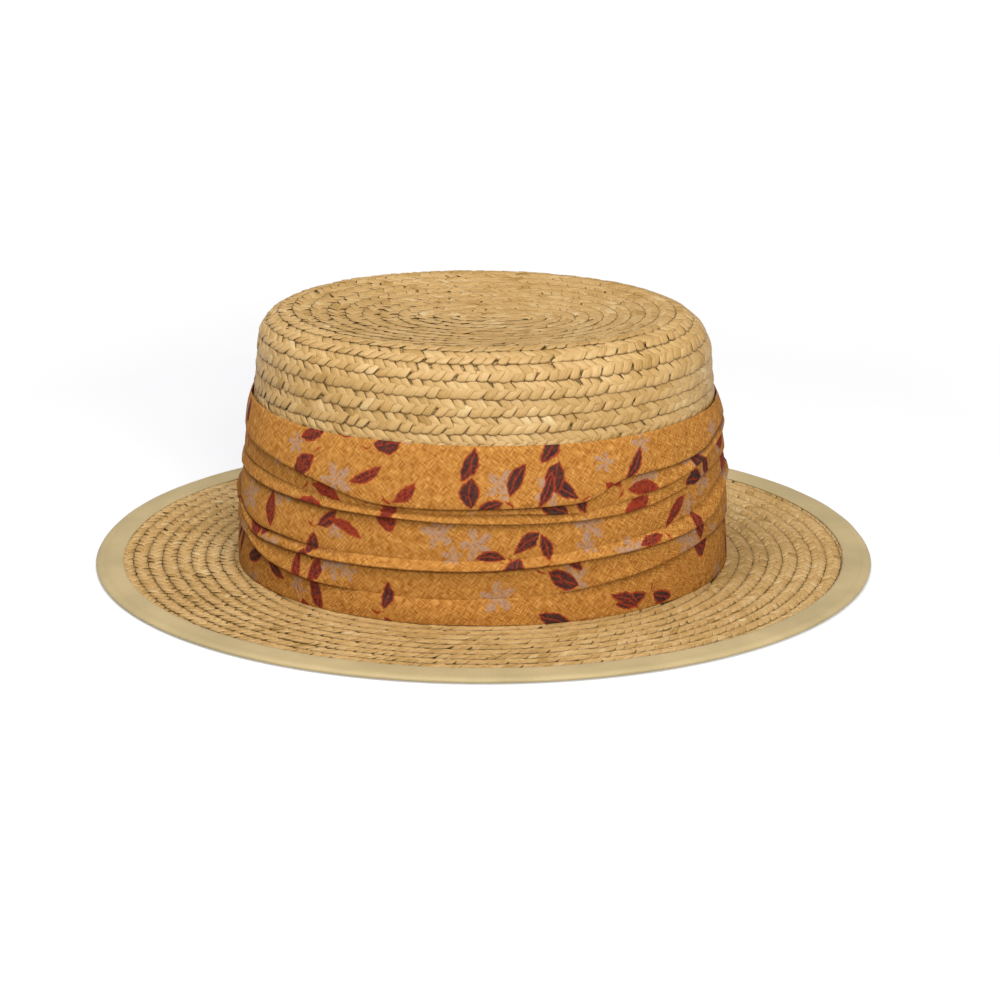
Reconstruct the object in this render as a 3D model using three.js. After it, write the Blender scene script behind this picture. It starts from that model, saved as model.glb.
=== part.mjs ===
import * as THREE from 'three';

// A straw boater hat: a crown and a brim of plaited straw sewn in rows, a pleated cloth band
// round the crown and a ribbon that binds the brim's edge.
// Millimetres, +Z up, origin on the floor under the middle of the brim. +X is the front of the
// hat, along the head's long way, and -Y is the wearer's right, the side without the band's join.

// Driving dimensions of the straw
const headLength = 193.2;
const headWidth = 165.6;
const strawWall = 2.4;
const edgeWall = 1.6;
const crownHeight = 103.7;
const tipLength = 181.4;
const tipWidth = 138;
const shoulderRadius = 14.8;
const shoulderSkew = 2.2;
const tipSink = 4;
const tipFall = 1.2;
const tipShift = 0.7;
const brimReach = 60;
const rearLift = 0.6;
const frontLift = 0.4;

// Rows of plait
const rowPitch = 6.3;
const rowLap = 0.7;
const lapRun = 0.5;
const startLength = 22;
const startWidth = 3;
const startShift = 5;

// Band and ribbon
const bandHeight = 69;
const bandCloth = 1.3;
const foldRise = 2.6;
const foldBelly = 0.75;
const hemBelly = 0.25;
const ribbonReach = 11.5;
const ribbonThickness = 1;
const ribbonRound = 0.7;

// Gap between one piece and the next
const clearance = 0.3;

// The brim touches the floor where the ray's cosine is below this share, and lifts beyond it
const flatShare = 0.36;

// Facets round each piece
const crownFacets = 48;
const brimFacets = 56;
const bandFacets = 80;

// Rings across the shoulder and across the tip on the inside of the crown
const innerSteps = 3;

// The band's main folds, from the hem up. Heights are shares of the band's height at eight
// bearings, from the rear (-X) through the near side (-Y), the front (+X) and the far side (+Y).
// rise is the share of the fold's full overhang.
const folds = [
  { name: 'hem', rear: 0.28, rearNear: 0.15, near: 0.12, frontNear: 0.22,
    front: 0.32, frontFar: 0.25, far: 0.17, rearFar: 0.22, rise: 0.45 },
  { name: 'long', rear: 0.45, rearNear: 0.285, near: 0.3, frontNear: 0.355,
    front: 0.53, frontFar: 0.42, far: 0.36, rearFar: 0.38, rise: 0.9 },
  { name: 'middle', rear: 0.61, rearNear: 0.56, near: 0.54, frontNear: 0.6,
    front: 0.71, frontFar: 0.62, far: 0.56, rearFar: 0.58, rise: 0.55 },
  { name: 'top', rear: 0.83, rearNear: 0.74, near: 0.68, frontNear: 0.78,
    front: 0.89, frontFar: 0.82, far: 0.74, rearFar: 0.78, rise: 1 },
];
const foldBearings = [
  'rear', 'rearNear', 'near', 'frontNear', 'front', 'frontFar', 'far', 'rearFar',
];

// Materials
const straw = new THREE.MeshStandardMaterial({ color: 0xcfb078, roughness: 0.62, metalness: 0 });
const brimStraw = new THREE.MeshStandardMaterial({ color: 0xc9a972, roughness: 0.62, metalness: 0 });
const cloth = new THREE.MeshStandardMaterial({ color: 0xb07438, roughness: 0.85, metalness: 0 });
const ribbon = new THREE.MeshStandardMaterial({ color: 0xc2b38a, roughness: 0.7, metalness: 0 });

// Levels and ovals that several pieces share
const brimMiddle = ribbonThickness + clearance + edgeWall / 2;
const brimTop = brimMiddle + strawWall / 2;
const crownFoot = brimTop + clearance;
const tipLevel = brimTop + crownHeight;
const footA = headLength / 2 + strawWall;
const footB = headWidth / 2 + strawWall;
const strawEdge = strawWall + brimReach - ribbonThickness - clearance;
const ribbonEdge = strawWall + brimReach - ribbonReach;

function mix(from, to, share) {
  return from + (to - from) * share;
}

function clamp01(value) {
  return Math.min(1, Math.max(0, value));
}

// One solid from rings of points. The rings run outward over the top, down the outside and back
// along the inside. A ring of one point closes the surface there; a loop joins last ring to first.
function ringSolid(rings, loop) {
  const points = rings.flat();
  const starts = [];
  rings.reduce((start, ring) => {
    starts.push(start);
    return start + ring.length;
  }, 0);
  const faces = [];
  const count = loop ? rings.length : rings.length - 1;
  for (let i = 0; i < count; i += 1) {
    const k = (i + 1) % rings.length;
    const facets = Math.max(rings[i].length, rings[k].length);
    for (let j = 0; j < facets; j += 1) {
      const a = starts[i] + (j % rings[i].length);
      const b = starts[k] + (j % rings[k].length);
      const c = starts[k] + ((j + 1) % rings[k].length);
      const d = starts[i] + ((j + 1) % rings[i].length);
      if (b !== c) faces.push(a, b, c);
      if (a !== d) faces.push(a, c, d);
    }
  }
  const geometry = new THREE.BufferGeometry();
  geometry.setAttribute('position',
    new THREE.Float32BufferAttribute(points.flatMap((p) => [p.x, p.y, p.z]), 3));
  geometry.setIndex(faces);
  geometry.computeVertexNormals();
  return geometry;
}

function ring(facets, pointAt) {
  return Array.from({ length: facets }, (_, j) => pointAt((2 * Math.PI * j) / facets));
}

// The crown's ring round the head at a level, pushed out by a distance
function sidePoint(angle, level, out) {
  const share = (level - brimTop) / crownHeight;
  const a = mix(footA, tipLength / 2, share) + out;
  const b = mix(footB, tipWidth / 2, share) + out;
  return fallen(new THREE.Vector3(a * Math.cos(angle), b * Math.sin(angle), level));
}

// The tip stands a little higher at the rear than at the front, and a little forward
function fallen(point) {
  const share = (point.z - brimTop) / crownHeight;
  point.z -= (share * tipFall * point.x) / tipLength;
  point.x += share * tipShift;
  return point;
}

function shoulderAt(angle) {
  return shoulderRadius + shoulderSkew * Math.cos(angle);
}

// The rounded shoulder: share 0 where it leaves the side, 1 where it meets the tip
function shoulderPoint(angle, share, out) {
  const radius = shoulderAt(angle);
  const turn = (share * Math.PI) / 2;
  const level = tipLevel - radius * (1 - Math.sin(turn));
  const rise = (level - brimTop) / crownHeight;
  const inset = radius * (1 - Math.cos(turn)) - out * Math.cos(turn);
  const a = mix(footA, tipLength / 2, rise) - inset;
  const b = mix(footB, tipWidth / 2, rise) - inset;
  const z = level + out * Math.sin(turn);
  return fallen(new THREE.Vector3(a * Math.cos(angle), b * Math.sin(angle), z));
}

// The slightly sunk tip: share 0 at the shoulder, 1 at the plait's first run
function tipPoint(angle, share, out) {
  const radius = shoulderAt(angle);
  const a = mix(tipLength / 2 - radius, startLength / 2, share);
  const b = mix(tipWidth / 2 - radius, startWidth / 2, share);
  const z = tipLevel - tipSink * (1 - (1 - share) ** 2) + out;
  const x = a * Math.cos(angle) + startShift * share;
  return fallen(new THREE.Vector3(x, b * Math.sin(angle), z));
}

// Shares at which the rows of a stretch meet, each with the proud lower edge of the upper row
// and the tucked upper edge of the row under it
function rowSteps(stretch) {
  const rows = Math.max(1, Math.round(stretch / rowPitch));
  const steps = [];
  for (let i = 1; i <= rows; i += 1) {
    steps.push({ share: i / rows, out: rowLap });
    if (i < rows) steps.push({ share: i / rows + lapRun / stretch, out: 0 });
  }
  return steps;
}

function crownSolid() {
  const band = brimTop + bandHeight;
  const sideTop = (angle) => tipLevel - shoulderAt(angle);
  const tipRun = (tipLength / 2 + tipWidth / 2) / 2 - shoulderRadius - startLength / 4;
  const sideRun = crownHeight - shoulderRadius - bandHeight;
  const shoulderRun = (shoulderRadius * Math.PI) / 2;
  const at = (pointAt) => ring(crownFacets, pointAt);

  const rings = [];
  rings.push([tipPoint(0, 1, 0).setX(startShift + tipShift).setY(0)]);
  rings.push(at((angle) => tipPoint(angle, 1, 0)));
  for (const { share, out } of rowSteps(tipRun)) {
    rings.push(at((angle) => tipPoint(angle, 1 - share, out)));
  }
  for (const { share, out } of rowSteps(shoulderRun)) {
    if (out === 0 || share < 1) rings.push(at((angle) => shoulderPoint(angle, 1 - share, out)));
  }
  for (const { share, out } of rowSteps(sideRun)) {
    if (share < 1) rings.push(at((angle) => sidePoint(angle, mix(sideTop(angle), band, share), out)));
  }
  rings.push(at((angle) => sidePoint(angle, crownFoot, 0)));
  rings.push(at((angle) => sidePoint(angle, crownFoot, -strawWall)));
  rings.push(at((angle) => sidePoint(angle, mix(crownFoot, sideTop(angle), 0.5), -strawWall)));
  for (let i = 0; i < innerSteps; i += 1) {
    rings.push(at((angle) => shoulderPoint(angle, i / innerSteps, -strawWall)));
  }
  for (let i = 0; i <= innerSteps; i += 1) {
    rings.push(at((angle) => tipPoint(angle, i / innerSteps, -strawWall)));
  }
  rings.push([tipPoint(0, 1, -strawWall).setX(startShift + tipShift).setY(0)]);
  return ringSolid(rings, false);
}

// A point of the brim: reach is measured outward from the head's oval, level at the crown.
// The brim lies flat at both sides of the head and lifts a hair towards the rear and the front.
function brimPoint(angle, reach, level) {
  const along = Math.cos(angle);
  const away = clamp01((Math.abs(along) - flatShare) / (1 - flatShare));
  const full = along < 0 ? rearLift : frontLift;
  const outward = clamp01(reach / (strawWall + brimReach));
  const lift = full * (away * away * (3 - 2 * away)) * outward ** 2;
  const a = headLength / 2 + reach;
  const b = headWidth / 2 + reach;
  return new THREE.Vector3(a * along, b * Math.sin(angle), level + lift);
}

function brimSolid() {
  const at = (reach, level) => ring(brimFacets, (angle) => brimPoint(angle, reach, level));
  const thin = brimMiddle + edgeWall / 2;
  const rings = [at(0, brimTop)];
  const openReach = ribbonEdge - strawWall - clearance;
  for (const { share, out } of rowSteps(openReach)) {
    if (share < 1) rings.push(at(strawWall + openReach * share, brimTop + out));
  }
  rings.push(at(ribbonEdge - clearance, brimTop));
  rings.push(at(ribbonEdge, thin));
  rings.push(at(strawEdge, thin));
  rings.push(at(strawEdge, brimMiddle - edgeWall / 2));
  rings.push(at(ribbonEdge, brimMiddle - edgeWall / 2));
  rings.push(at(ribbonEdge - clearance, brimMiddle - strawWall / 2));
  for (let i = innerSteps - 1; i >= 0; i -= 1) {
    rings.push(at((ribbonEdge * i) / innerSteps, brimMiddle - strawWall / 2));
  }
  return ringSolid(rings, true);
}

// The ribbon folded over the brim's edge, with a rounded outer edge and a flat underside
function bindingSolid() {
  const inside = edgeWall / 2 + clearance;
  const outside = inside + ribbonThickness;
  const tail = ribbonEdge + clearance;
  const rim = strawWall + brimReach;
  const profile = [
    { reach: tail, level: brimMiddle + outside },
    { reach: mix(tail, rim, 0.5), level: brimMiddle + outside },
    { reach: rim - ribbonThickness, level: brimMiddle + outside },
    { reach: rim, level: brimMiddle + inside * ribbonRound },
    { reach: rim, level: brimMiddle - inside * ribbonRound },
    { reach: rim - ribbonThickness, level: brimMiddle - outside },
    { reach: tail, level: brimMiddle - outside },
    { reach: tail, level: brimMiddle - inside },
    { reach: strawEdge + clearance, level: brimMiddle - inside },
    { reach: strawEdge + clearance, level: brimMiddle + inside },
    { reach: tail, level: brimMiddle + inside },
  ];
  return ringSolid(profile.map(({ reach, level }) => (
    ring(brimFacets, (angle) => brimPoint(angle, reach, level)))), true);
}

// Height of a fold on a bearing, as a share of the band's height, on a smooth closed curve
function foldHeight(fold, angle) {
  const step = foldBearings.length;
  const place = ((angle + Math.PI) / (2 * Math.PI)) * step;
  const first = Math.floor(place);
  const t = place - first;
  const [p, q, r, s] = [-1, 0, 1, 2].map((k) => fold[foldBearings[(first + k + step) % step]]);
  return 0.5 * (2 * q + (r - p) * t + (2 * p - 5 * q + 4 * r - s) * t * t
    + (3 * q - p - 3 * r + s) * t * t * t);
}

// The pleated band: under each fold the cloth is tucked in against the crown, and above it the
// cloth rolls out over the layer below. Its hem stands just over the brim.
function bandSolid() {
  const hem = brimTop + rowLap + clearance;
  const head = brimTop + bandHeight;
  const level = (share) => mix(hem, head, share);
  const at = (shareAt, out) => ring(bandFacets,
    (angle) => sidePoint(angle, level(shareAt(angle)), clearance + out));
  const tuck = lapRun / bandHeight;

  const rings = [at(() => 1, bandCloth)];
  let above = () => 1;
  for (const fold of [...folds].reverse()) {
    const crease = (angle) => foldHeight(fold, angle);
    const upper = above;
    const roll = foldRise * fold.rise;
    rings.push(at((angle) => mix(crease(angle), upper(angle), 0.5), bandCloth + roll * foldBelly));
    rings.push(at((angle) => crease(angle) + tuck, bandCloth + roll));
    rings.push(at((angle) => crease(angle) - tuck, bandCloth));
    above = crease;
  }
  rings.push(at((angle) => above(angle) * 0.5, bandCloth + foldRise * hemBelly));
  rings.push(at(() => 0, bandCloth));
  rings.push(at(() => 0, 0));
  rings.push(at(() => 0.5, 0));
  rings.push(at(() => 1, 0));
  return ringSolid(rings, true);
}

function piece(name, geometry, material) {
  const mesh = new THREE.Mesh(geometry, material);
  mesh.name = name;
  return mesh;
}

const hat = new THREE.Group();
hat.add(piece('crown', crownSolid(), straw));
hat.add(piece('brim', brimSolid(), brimStraw));
hat.add(piece('hat_band', bandSolid(), cloth));
hat.add(piece('brim_binding', bindingSolid(), ribbon));

export default hat;
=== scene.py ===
"""Straw boater hat: plaited straw crown and brim, a pleated printed band and a ribbon bound edge."""

import logging
import math
from dataclasses import dataclass, field
from enum import Enum
from typing import Callable, Sequence

import bpy
import numpy as np
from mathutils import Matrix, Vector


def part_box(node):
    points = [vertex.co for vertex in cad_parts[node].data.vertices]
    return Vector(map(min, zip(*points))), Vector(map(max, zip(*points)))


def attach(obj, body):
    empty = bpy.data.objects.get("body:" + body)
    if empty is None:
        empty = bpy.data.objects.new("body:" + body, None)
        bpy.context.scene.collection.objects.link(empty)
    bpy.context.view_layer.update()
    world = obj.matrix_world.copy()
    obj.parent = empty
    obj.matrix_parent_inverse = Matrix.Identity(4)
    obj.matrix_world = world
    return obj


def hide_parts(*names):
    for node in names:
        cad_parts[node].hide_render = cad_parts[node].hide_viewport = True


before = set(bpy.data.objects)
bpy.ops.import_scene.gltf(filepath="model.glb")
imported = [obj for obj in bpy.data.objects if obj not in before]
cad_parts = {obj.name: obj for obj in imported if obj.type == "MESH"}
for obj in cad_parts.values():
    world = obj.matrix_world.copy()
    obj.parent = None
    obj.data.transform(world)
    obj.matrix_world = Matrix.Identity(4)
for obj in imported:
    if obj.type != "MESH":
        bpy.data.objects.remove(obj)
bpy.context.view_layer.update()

log = logging.getLogger("hat")

MM = 0.001
TURN = 2.0 * math.pi
BODY = "root"

Socket = bpy.types.NodeSocket
Stops = tuple[tuple[float, str], ...]
Laid = tuple[np.ndarray, np.ndarray, dict[str, np.ndarray]]


class Face(Enum):
    """Which face of the straw wall a plait is laid on."""

    OUTSIDE = 1.0
    INSIDE = -1.0


class Rank(Enum):
    """The two ranks of straws in a plait: one folds over at the row's lower edge, one at its upper."""

    LOWER = 1.0
    UPPER = -1.0


# Helpers for meshes and nodes


def linear(colour: str) -> tuple[float, float, float, float]:
    """Turn an sRGB hex colour into linear RGBA.

    Args:
        colour: six hex digits.

    Returns:
        The linear red, green and blue, with alpha 1.
    """
    shares = [int(colour[i : i + 2], 16) / 255.0 for i in (0, 2, 4)]
    light = [s / 12.92 if s <= 0.04045 else ((s + 0.055) / 1.055) ** 2.4 for s in shares]
    return (light[0], light[1], light[2], 1.0)


class Graph:
    """A material's nodes. Each method adds one node or a few and gives back an output socket."""

    def __init__(self, name: str) -> None:
        """Make an empty node material of this name."""
        self.material = bpy.data.materials.new(name)
        self.material.use_nodes = True
        self.tree = self.material.node_tree
        self.tree.nodes.clear()

    def add(
        self, kind: str, inputs: dict[int | str, object] | None = None, output: int | str = 0,
        **settings: object,
    ) -> Socket:
        """Add a node with its settings, and its inputs as values or links.

        Args:
            kind: the node's type name without its prefix.
            inputs: socket name or number to a value, or to a socket to link from.
            output: name or number of the output that is wanted.
            settings: properties of the node itself.

        Returns:
            The output.
        """
        made = self.tree.nodes.new("ShaderNode" + kind)
        for key, value in settings.items():
            setattr(made, key, value)
        for place, value in (inputs or {}).items():
            if isinstance(value, Socket):
                self.tree.links.new(value, made.inputs[place])
            else:
                made.inputs[place].default_value = value
        return made.outputs[output]

    def maths(self, operation: str, *values: Socket | float) -> Socket:
        """Reckon with numbers."""
        return self.add("Math", dict(enumerate(values)), operation=operation)

    def vectors(self, operation: str, *values: object) -> Socket:
        """Reckon with vectors."""
        return self.add("VectorMath", dict(enumerate(values)), operation=operation)

    def length(self, place: Socket) -> Socket:
        """Length of a vector."""
        return self.add("VectorMath", {0: place}, "Value", operation="LENGTH")

    def turned(self, place: Socket, angle: Socket | float) -> Socket:
        """A place turned about the z axis by an angle in radians."""
        return self.add("VectorRotate", {"Vector": place, "Angle": angle}, rotation_type="Z_AXIS")

    def parts(self, place: Socket) -> Sequence[Socket]:
        """The x, y and z of a place."""
        return self.add("SeparateXYZ", {0: place}).node.outputs

    def attribute(self, name: str) -> Socket:
        """The number that the mesh stores at each vertex under this name."""
        return self.add("Attribute", output="Fac", attribute_name=name)

    def noise(
        self, place: Socket, scale: float, detail: float = 2.0, rough: float = 0.5, solid: bool = False
    ) -> Socket:
        """Soft noise in the plane of a UV map or, where it is solid, in space."""
        inputs = {"Vector": place, "Scale": scale, "Detail": detail, "Roughness": rough}
        return self.add("TexNoise", inputs, noise_dimensions="3D" if solid else "2D")

    def ramp(self, share: Socket, stops: Stops) -> Socket:
        """Turn a share into a colour.

        Args:
            share: where along the ramp, from 0 to 1.
            stops: position and sRGB hex colour of each stop.

        Returns:
            The colour.
        """
        colour = self.add("ValToRGB", {0: share})
        elements = colour.node.color_ramp.elements
        while len(elements) > 1:
            elements.remove(elements[-1])
        elements[0].position = stops[0][0]
        elements[0].color = linear(stops[0][1])
        for position, stop in stops[1:]:
            elements.new(position).color = linear(stop)
        return colour

    def mix(self, share: Socket, under: object, over: object, blend: str = "MIX") -> Socket:
        """Mix two colours: under at share 0, over at share 1."""
        return self.add("Mix", {0: share, 6: under, 7: over}, 2, data_type="RGBA", blend_type=blend)

    def edge(self, inside: Socket, low: float, high: float) -> Socket:
        """Turn a distance into a mask that rises from 0 at low to 1 at high."""
        return self.add("MapRange", {0: inside, 1: low, 2: high}, interpolation_type="SMOOTHSTEP")

    def over(self, under: Socket, over: Socket, masks: Sequence[Socket], strength: float) -> Socket:
        """Lay one colour over another where all masks hold.

        Args:
            under: the colour below.
            over: the colour above.
            masks: the masks, from 0 to 1.
            strength: how much of the colour above is laid on.

        Returns:
            The mixed colour.
        """
        product = self.maths("MULTIPLY", masks[0], strength)
        for mask in masks[1:]:
            product = self.maths("MULTIPLY", product, mask)
        return self.mix(product, under, over)

    def bump(self, height: Socket, strength: float, distance: float, **normal: Socket) -> Socket:
        """The normal bent by a height, on top of another bump where normal names one."""
        return self.add("Bump", {"Strength": strength, "Distance": distance, "Height": height, **normal})

    def surface(self, looks: dict[str, object]) -> bpy.types.Material:
        """Give the material its surface from these inputs of the surface node."""
        end = self.tree.nodes.new("ShaderNodeOutputMaterial")
        self.tree.links.new(self.add("BsdfPrincipled", looks), end.inputs[0])
        return self.material


def smooth(low: float, high: float, value: np.ndarray) -> np.ndarray:
    """Ease from 0 at low to 1 at high."""
    share = np.clip((value - low) / (high - low), 0.0, 1.0)
    return share * share * (3.0 - 2.0 * share)


def waves(seed: int, x: np.ndarray, y: np.ndarray, count: int = 6) -> np.ndarray:
    """Add a few plane waves with seeded directions, a soft and repeatable unevenness.

    Args:
        seed: seed of the random draws.
        x: first coordinate, in radians of the longest wave.
        y: second coordinate, likewise.
        count: how many waves are added.

    Returns:
        Heights from about -1 to 1.
    """
    draws = np.random.default_rng(seed)
    total = np.zeros(np.broadcast(x, y).shape)
    for _ in range(count):
        pace_x, pace_y = draws.uniform(0.6, 3.0), draws.uniform(0.4, 2.2)
        total += np.sin(pace_x * x * draws.choice([-1.0, 1.0]) + pace_y * y + draws.uniform(0.0, TURN))
    return total / math.sqrt(count) / 1.4


def set_values(mesh: bpy.types.Mesh, name: str, values: np.ndarray) -> None:
    """Store one number for each vertex as a named attribute."""
    layer = mesh.attributes.new(name, "FLOAT", "POINT")
    layer.data.foreach_set("value", values.astype(np.float32))


def set_uv(mesh: bpy.types.Mesh, places: np.ndarray) -> None:
    """Give the mesh a UV map in metres from one place for each vertex."""
    layer = mesh.uv_layers.active or mesh.uv_layers.new(name="UVMap")
    corners = np.empty(len(mesh.loops), dtype=np.int32)
    mesh.loops.foreach_get("vertex_index", corners)
    layer.data.foreach_set("uv", places[corners].astype(np.float32).ravel())


def wall_values(count: int) -> dict[str, np.ndarray]:
    """Tint and painted light of a plain straw wall, the same at each of its vertices: the wall is painted a
    little darker, as shade in the gaps between the straws over it.
    """
    return {"tint": np.full(count, 0.5), "depth": np.full(count, 0.75)}


def add_object(name: str, data: bpy.types.ID) -> bpy.types.Object:
    """Put a mesh, a lamp or a camera in the scene."""
    made = bpy.data.objects.new(name, data)
    bpy.context.scene.collection.objects.link(made)
    return made


def finish_mesh(piece: bpy.types.Object, material: bpy.types.Material) -> None:
    """Shade a piece smooth and give it its one material."""
    mesh = piece.data
    mesh.materials.clear()
    mesh.materials.append(material)
    mesh.polygons.foreach_set("use_smooth", [True] * len(mesh.polygons))
    mesh.update()


def wrapped_grid(
    name: str,
    columns: int,
    rows: int,
    place: Callable[[np.ndarray, np.ndarray], Laid],
    closed: bool,
) -> bpy.types.Object:
    """Add a grid, lay each of its points on the piece's surface and close its seams.

    Args:
        name: the piece's name.
        columns: faces along the grid's first way.
        rows: faces along its second way.
        place: gives points, UV places and attributes for shares (u, v) of the grid.
        closed: whether the laid grid closes on itself, so its seams are merged.

    Returns:
        The piece, with its place in its mesh.
    """
    bpy.ops.object.select_all(action="DESELECT")
    bpy.ops.mesh.primitive_grid_add(x_subdivisions=columns, y_subdivisions=rows, size=1.0)
    piece = bpy.context.object
    piece.name = name
    mesh = piece.data
    mesh.name = name
    flat = np.empty(len(mesh.vertices) * 3)
    mesh.vertices.foreach_get("co", flat)
    flat = flat.reshape(-1, 3)
    u = np.round((flat[:, 0] + 0.5) * columns) / columns
    v = np.round((flat[:, 1] + 0.5) * rows) / rows
    points, uv, values = place(u, v)
    mesh.vertices.foreach_set("co", points.astype(np.float32).ravel())
    set_uv(mesh, uv)
    for key, numbers in values.items():
        set_values(mesh, key, numbers)
    if closed:
        bpy.ops.object.mode_set(mode="EDIT")
        bpy.ops.mesh.select_all(action="SELECT")
        bpy.ops.mesh.remove_doubles(threshold=1e-6)
        bpy.ops.mesh.normals_make_consistent(inside=False)
        bpy.ops.object.mode_set(mode="OBJECT")
    mesh.update()
    return piece


# The hat's form, shared by every piece


@dataclass
class HatForm:
    """The straw form: ovals and levels in metres, driven by the CAD solids' boxes."""

    tip_a: float = 90.7 * MM
    tip_b: float = 69.0 * MM
    start_a: float = 11.0 * MM
    start_b: float = 0.1 * MM
    start_shift: float = 5.0 * MM
    shoulder: float = 14.8 * MM
    shoulder_skew: float = 2.2 * MM
    tip_sink: float = 4.0 * MM
    tip_fall: float = 1.2 * MM
    tip_shift: float = 0.7 * MM
    crown_height: float = 103.7 * MM
    wall: float = 2.4 * MM
    ribbon_reach: float = 11.5 * MM
    far_lift: float = 1.6 * MM
    settle: float = 1.2 * MM
    left_draw: float = 0.008
    tip_rows: float = 10.2
    shoulder_rows: float = 3.3
    side_pitch: float = 6.8 * MM
    gap: float = 0.3 * MM
    band_height: float = 69.0 * MM
    foot_a: float = field(init=False)
    foot_b: float = field(init=False)
    brim_top: float = field(init=False)
    straw_top: float = field(init=False)
    tip_level: float = field(init=False)
    band_top: float = field(init=False)
    rim: float = field(init=False)

    def __post_init__(self) -> None:
        """Read the sizes that the CAD solids already hold."""
        crown_low, crown_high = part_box("crown")
        binding_low, binding_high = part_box("brim_binding")
        self.foot_a = (crown_high[0] - crown_low[0]) / 2.0
        self.foot_b = (crown_high[1] - crown_low[1]) / 2.0
        self.brim_top = crown_low[2] - self.gap
        self.straw_top = self.brim_top - self.settle
        self.tip_level = self.brim_top + self.crown_height
        self.band_top = min(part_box("hat_band")[1][2], self.brim_top + self.band_height)
        self.rim = (binding_high[0] - binding_low[0]) / 2.0 - self.foot_a + self.wall

    def shoulder_at(self, angle: np.ndarray) -> np.ndarray:
        """Radius of the shoulder on a bearing: rounder at the front, tighter at the rear."""
        return self.shoulder + self.shoulder_skew * np.cos(angle)

    def _fallen(self, x: np.ndarray, y: np.ndarray, z: np.ndarray) -> np.ndarray:
        """Let the tip stand a little higher at the rear than at the front."""
        share = (z - self.brim_top) / self.crown_height
        low = z - share * self.tip_fall * x / (2.0 * self.tip_a)
        return np.stack([x + share * self.tip_shift, y, low], axis=-1)

    def _oval(self, share: np.ndarray, out: np.ndarray) -> tuple[np.ndarray, np.ndarray]:
        """Half axes of the crown's oval at a share of its height, so far out from its face."""
        a = self.foot_a + (self.tip_a - self.foot_a) * share + out
        return a, self.foot_b + (self.tip_b - self.foot_b) * share + out

    def side(self, angle: np.ndarray, level: np.ndarray, out: np.ndarray) -> np.ndarray:
        """Points of the crown's side.

        Args:
            angle: bearing in radians.
            level: height above the floor.
            out: distance outward from the straw's outer face.

        Returns:
            The points.
        """
        a, b = self._oval((level - self.brim_top) / self.crown_height, out)
        return self._fallen(a * np.cos(angle), b * np.sin(angle), level)

    def crown(self, angle: np.ndarray, row: np.ndarray, out: np.ndarray) -> np.ndarray:
        """Points of the whole crown by row, from the tip's middle down to the foot.

        Args:
            angle: bearing in radians.
            row: rows of plait counted from the tip's middle.
            out: distance outward from the straw's outer face.

        Returns:
            The points.
        """
        angle, row, out = np.broadcast_arrays(angle, row, out)
        radius = self.shoulder_at(angle)
        across = np.clip(1.0 - row / self.tip_rows, 0.0, 1.2)
        a = self.tip_a - radius + (self.start_a - self.tip_a + radius) * across
        b = self.tip_b - radius + (self.start_b - self.tip_b + radius) * across
        level = self.tip_level - self.tip_sink * (1.0 - (1.0 - across) ** 2) + out
        x = a * np.cos(angle) + self.start_shift * across
        tip = self._fallen(x, b * np.sin(angle), level)

        turn = np.clip(1.0 - (row - self.tip_rows) / self.shoulder_rows, 0.0, 1.0) * math.pi / 2.0
        level = self.tip_level - radius * (1.0 - np.sin(turn))
        inset = radius * (1.0 - np.cos(turn)) - out * np.cos(turn)
        a, b = self._oval((level - self.brim_top) / self.crown_height, -inset)
        bend = self._fallen(a * np.cos(angle), b * np.sin(angle), level + out * np.sin(turn))

        below = row - self.tip_rows - self.shoulder_rows
        top = self.tip_level - radius
        visible = self.band_row() - self.tip_rows - self.shoulder_rows
        level = top + (self.band_top - top) * below / visible
        plain = self.band_top - (below - visible) * self.side_pitch
        side = self.side(angle, np.where(below > visible, plain, level), out)

        points = np.where((row < self.tip_rows)[..., None], tip, bend)
        return np.where((below > 0.0)[..., None], side, points)

    def _side_row(self, level: float) -> float:
        """The crown's row count at a level of its side."""
        return self.tip_rows + self.shoulder_rows + (self.tip_level - self.shoulder - level) / self.side_pitch

    def last_row(self) -> float:
        """The crown's row count where the wall meets the brim."""
        return self._side_row(self.brim_top)

    def band_row(self) -> float:
        """The crown's row count at the band's upper edge."""
        return self._side_row(self.band_top)

    def brim(self, angle: np.ndarray, reach: np.ndarray, level: np.ndarray) -> np.ndarray:
        """Points of the brim, which curls up a little on its far side.

        Args:
            angle: bearing in radians.
            reach: distance outward from the head's oval.
            level: height before the lift.

        Returns:
            The points.
        """
        angle, reach, level = np.broadcast_arrays(angle, reach, level)
        along = np.cos(angle)
        away = smooth(-0.1, 0.6, np.sin(angle))
        lift = self.far_lift * away * np.clip(reach / self.rim, 0.0, 1.0) ** 2
        reach = reach * (1.0 + self.left_draw * np.minimum(along, 0.0))
        a = self.foot_a - self.wall + reach
        b = self.foot_b - self.wall + reach
        return np.stack([a * along, b * np.sin(angle), level + lift], axis=-1)


# Finishes


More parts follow.
